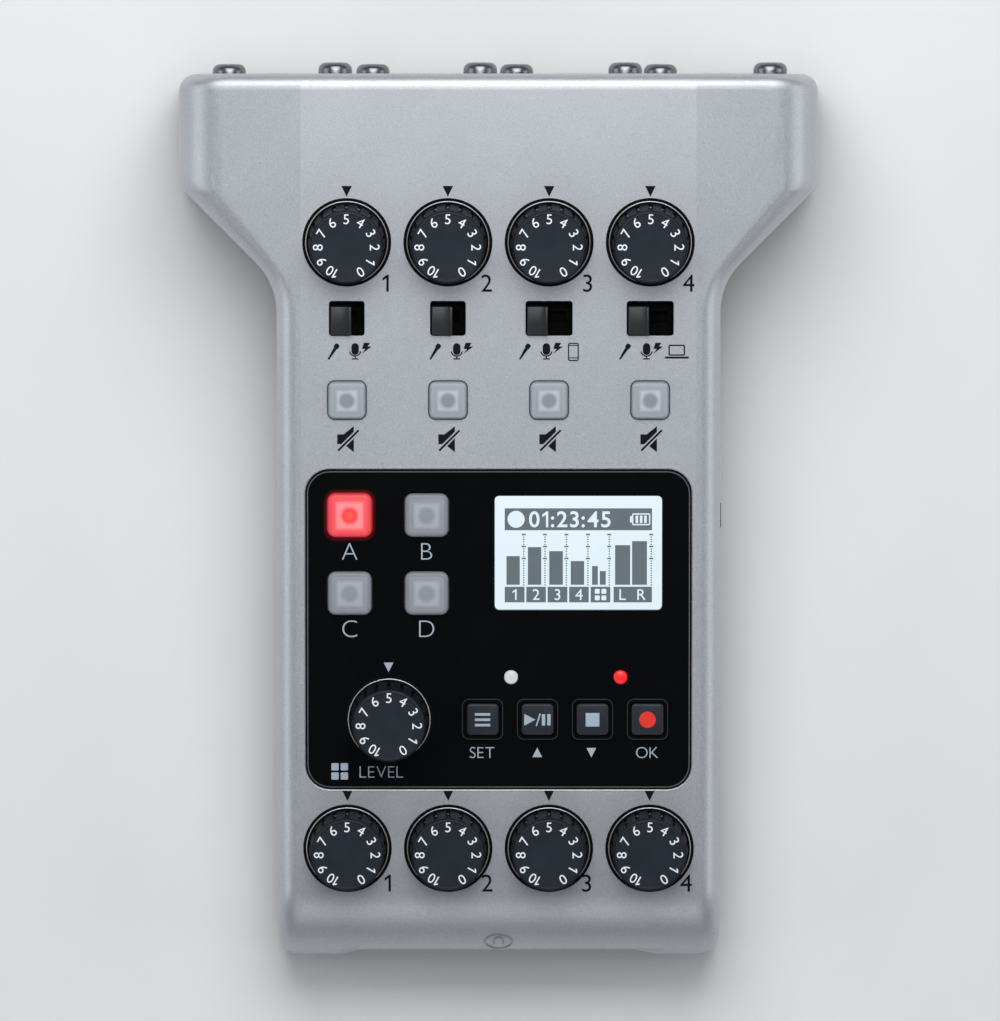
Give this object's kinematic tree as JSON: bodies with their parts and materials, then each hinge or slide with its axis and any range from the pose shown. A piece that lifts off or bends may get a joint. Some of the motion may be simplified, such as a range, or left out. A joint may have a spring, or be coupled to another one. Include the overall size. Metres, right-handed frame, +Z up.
{
  "type": "podcast recorder",
  "caption": "Portable desk recorder with a sloping control face, fluted level knobs, slide switches, lit buttons, a display panel, rear microphone sockets and front headphone jacks.",
  "frame": {"origin": "middle of the bounding box at the height of the table, under the rubber feet", "axes": "+Y to the rear wall with the microphone sockets, +X to the right seen from above, +Z up"},
  "size_m": [0.112, 0.1572, 0.047],
  "materials": {
    "silver_paint": "fine metallic satin",
    "black_case": "fine moulded grain",
    "black_panel": "polished",
    "knob_plastic": "satin",
    "slider_plastic": "satin",
    "button_silicone": "translucent satin",
    "lit_silicone": "translucent satin, lit from below",
    "key_plastic": "satin",
    "display_glass": "clear",
    "display_frame": "lit from behind",
    "lamp_clear": "clear, lit",
    "dark_steel": "black nickel",
    "port_steel": "satin",
    "contact_brass": "bright",
    "socket_plastic": "fine moulded grain",
    "board_green": "solder mask",
    "component_grey": "moulded",
    "cell_wrap": "printed wrap, plain",
    "foot_rubber": "matt"
  },
  "bodies": {
    "case": {"top_shell": "silver_paint", "bottom_shell": "black_case", "control_panel": "black_panel", "display_lens": "display_glass", "display_module": "display_frame", "status_lamps": "lamp_clear", "jack_board": "board_green", "battery_cells": "cell_wrap", "battery_contacts": "port_steel", "control_board": "board_green", "main_board": "board_green", "potentiometers": "component_grey", "slide_switches": "slider_plastic", "tact_switches": "component_grey", "xlr_contacts": "contact_brass", "xlr_screws": "dark_steel", "phone_jack": "socket_plastic", "usb_port": "port_steel", "card_socket": "port_steel", "rubber_feet": "foot_rubber", "case_screws": "dark_steel", "xlr_socket_1": "socket_plastic", "headphone_jack_1": "socket_plastic", "xlr_socket_2": "socket_plastic", "headphone_jack_2": "socket_plastic", "xlr_socket_3": "socket_plastic", "headphone_jack_3": "socket_plastic", "xlr_socket_4": "socket_plastic", "headphone_jack_4": "socket_plastic"},
    "gain_knob_1": {"gain_knob_1": "knob_plastic"},
    "gain_knob_2": {"gain_knob_2": "knob_plastic"},
    "gain_knob_3": {"gain_knob_3": "knob_plastic"},
    "gain_knob_4": {"gain_knob_4": "knob_plastic"},
    "headphone_knob_1": {"headphone_knob_1": "knob_plastic"},
    "headphone_knob_2": {"headphone_knob_2": "knob_plastic"},
    "headphone_knob_3": {"headphone_knob_3": "knob_plastic"},
    "headphone_knob_4": {"headphone_knob_4": "knob_plastic"},
    "pad_level_knob": {"pad_level_knob": "knob_plastic"},
    "input_switch_1": {"input_switch_1": "slider_plastic"},
    "input_switch_2": {"input_switch_2": "slider_plastic"},
    "input_switch_3": {"input_switch_3": "slider_plastic"},
    "input_switch_4": {"input_switch_4": "slider_plastic"},
    "mute_button_1": {"mute_button_1": "button_silicone"},
    "mute_button_2": {"mute_button_2": "button_silicone"},
    "mute_button_3": {"mute_button_3": "button_silicone"},
    "mute_button_4": {"mute_button_4": "button_silicone"},
    "pad_button_a": {"pad_button_a": "lit_silicone"},
    "pad_button_b": {"pad_button_b": "button_silicone"},
    "pad_button_c": {"pad_button_c": "button_silicone"},
    "pad_button_d": {"pad_button_d": "button_silicone"},
    "menu_button": {"menu_button": "key_plastic"},
    "play_button": {"play_button": "key_plastic"},
    "stop_button": {"stop_button": "key_plastic"},
    "record_button": {"record_button": "key_plastic"},
    "power_switch": {"power_switch": "slider_plastic"},
    "battery_cover": {"battery_cover": "black_case"},
    "xlr_latch_1": {"xlr_latch_1": "port_steel"},
    "xlr_latch_2": {"xlr_latch_2": "port_steel"},
    "xlr_latch_3": {"xlr_latch_3": "port_steel"},
    "xlr_latch_4": {"xlr_latch_4": "port_steel"}
  },
  "joints": [
    {"name": "gain_knob_1_turn", "type": "hinge", "parent": "case", "child": "gain_knob_1", "pos_m": [-0.02655, 0.04709, 0.03837], "axis": [0, -0.1132, 0.9936], "range_deg": [-150, 150]},
    {"name": "gain_knob_2_turn", "type": "hinge", "parent": "case", "child": "gain_knob_2", "pos_m": [-0.00885, 0.04709, 0.03837], "axis": [0, -0.1132, 0.9936], "range_deg": [-150, 150]},
    {"name": "gain_knob_3_turn", "type": "hinge", "parent": "case", "child": "gain_knob_3", "pos_m": [0.00885, 0.04709, 0.03837], "axis": [0, -0.1132, 0.9936], "range_deg": [-150, 150]},
    {"name": "gain_knob_4_turn", "type": "hinge", "parent": "case", "child": "gain_knob_4", "pos_m": [0.02655, 0.04709, 0.03837], "axis": [0, -0.1132, 0.9936], "range_deg": [-150, 150]},
    {"name": "headphone_knob_1_turn", "type": "hinge", "parent": "case", "child": "headphone_knob_1", "pos_m": [-0.02655, -0.05942, 0.02623], "axis": [0, -0.1132, 0.9936], "range_deg": [-150, 150]},
    {"name": "headphone_knob_2_turn", "type": "hinge", "parent": "case", "child": "headphone_knob_2", "pos_m": [-0.00885, -0.05942, 0.02623], "axis": [0, -0.1132, 0.9936], "range_deg": [-150, 150]},
    {"name": "headphone_knob_3_turn", "type": "hinge", "parent": "case", "child": "headphone_knob_3", "pos_m": [0.00885, -0.05942, 0.02623], "axis": [0, -0.1132, 0.9936], "range_deg": [-150, 150]},
    {"name": "headphone_knob_4_turn", "type": "hinge", "parent": "case", "child": "headphone_knob_4", "pos_m": [0.02655, -0.05942, 0.02623], "axis": [0, -0.1132, 0.9936], "range_deg": [-150, 150]},
    {"name": "pad_level_knob_turn", "type": "hinge", "parent": "case", "child": "pad_level_knob", "pos_m": [-0.0192, -0.03666, 0.02882], "axis": [0, -0.1132, 0.9936], "range_deg": [-150, 150]},
    {"name": "input_switch_1_slide", "type": "slide", "parent": "case", "child": "input_switch_1", "axis": [1, 0, 0], "range_m": [0, 0.002]},
    {"name": "input_switch_2_slide", "type": "slide", "parent": "case", "child": "input_switch_2", "axis": [1, 0, 0], "range_m": [0, 0.002]},
    {"name": "input_switch_3_slide", "type": "slide", "parent": "case", "child": "input_switch_3", "axis": [1, 0, 0], "range_m": [0, 0.004]},
    {"name": "input_switch_4_slide", "type": "slide", "parent": "case", "child": "input_switch_4", "axis": [1, 0, 0], "range_m": [0, 0.004]},
    {"name": "mute_button_1_press", "type": "slide", "parent": "case", "child": "mute_button_1", "axis": [0, 0.1132, -0.9936], "range_m": [0, 0.0008], "stiffness_N_per_m": 300, "springref_m": -0.0003},
    {"name": "mute_button_2_press", "type": "slide", "parent": "case", "child": "mute_button_2", "axis": [0, 0.1132, -0.9936], "range_m": [0, 0.0008], "stiffness_N_per_m": 300, "springref_m": -0.0003},
    {"name": "mute_button_3_press", "type": "slide", "parent": "case", "child": "mute_button_3", "axis": [0, 0.1132, -0.9936], "range_m": [0, 0.0008], "stiffness_N_per_m": 300, "springref_m": -0.0003},
    {"name": "mute_button_4_press", "type": "slide", "parent": "case", "child": "mute_button_4", "axis": [0, 0.1132, -0.9936], "range_m": [0, 0.0008], "stiffness_N_per_m": 300, "springref_m": -0.0003},
    {"name": "pad_button_a_press", "type": "slide", "parent": "case", "child": "pad_button_a", "axis": [0, 0.1132, -0.9936], "range_m": [0, 0.0008], "stiffness_N_per_m": 300, "springref_m": -0.0003},
    {"name": "pad_button_b_press", "type": "slide", "parent": "case", "child": "pad_button_b", "axis": [0, 0.1132, -0.9936], "range_m": [0, 0.0008], "stiffness_N_per_m": 300, "springref_m": -0.0003},
    {"name": "pad_button_c_press", "type": "slide", "parent": "case", "child": "pad_button_c", "axis": [0, 0.1132, -0.9936], "range_m": [0, 0.0008], "stiffness_N_per_m": 300, "springref_m": -0.0003},
    {"name": "pad_button_d_press", "type": "slide", "parent": "case", "child": "pad_button_d", "axis": [0, 0.1132, -0.9936], "range_m": [0, 0.0008], "stiffness_N_per_m": 300, "springref_m": -0.0003},
    {"name": "menu_button_press", "type": "slide", "parent": "case", "child": "menu_button", "axis": [0, 0.1132, -0.9936], "range_m": [0, 0.0008], "stiffness_N_per_m": 300, "springref_m": -0.0003},
    {"name": "play_button_press", "type": "slide", "parent": "case", "child": "play_button", "axis": [0, 0.1132, -0.9936], "range_m": [0, 0.0008], "stiffness_N_per_m": 300, "springref_m": -0.0003},
    {"name": "stop_button_press", "type": "slide", "parent": "case", "child": "stop_button", "axis": [0, 0.1132, -0.9936], "range_m": [0, 0.0008], "stiffness_N_per_m": 300, "springref_m": -0.0003},
    {"name": "record_button_press", "type": "slide", "parent": "case", "child": "record_button", "axis": [0, 0.1132, -0.9936], "range_m": [0, 0.0008], "stiffness_N_per_m": 300, "springref_m": -0.0003},
    {"name": "power_switch_slide", "type": "slide", "parent": "case", "child": "power_switch", "axis": [0, 1, 0], "range_m": [0, 0.003]},
    {"name": "battery_cover_swing", "type": "hinge", "parent": "case", "child": "battery_cover", "pos_m": [0, -0.0141, 0.0026], "axis": [1, 0, 0], "range_deg": [0, 90]},
    {"name": "xlr_latch_1_push", "type": "slide", "parent": "case", "child": "xlr_latch_1", "axis": [0, -1, 0], "range_m": [0, 0.0015], "stiffness_N_per_m": 400, "springref_m": -0.0005},
    {"name": "xlr_latch_2_push", "type": "slide", "parent": "case", "child": "xlr_latch_2", "axis": [0, -1, 0], "range_m": [0, 0.0015], "stiffness_N_per_m": 400, "springref_m": -0.0005},
    {"name": "xlr_latch_3_push", "type": "slide", "parent": "case", "child": "xlr_latch_3", "axis": [0, -1, 0], "range_m": [0, 0.0015], "stiffness_N_per_m": 400, "springref_m": -0.0005},
    {"name": "xlr_latch_4_push", "type": "slide", "parent": "case", "child": "xlr_latch_4", "axis": [0, -1, 0], "range_m": [0, 0.0015], "stiffness_N_per_m": 400, "springref_m": -0.0005}
  ]
}
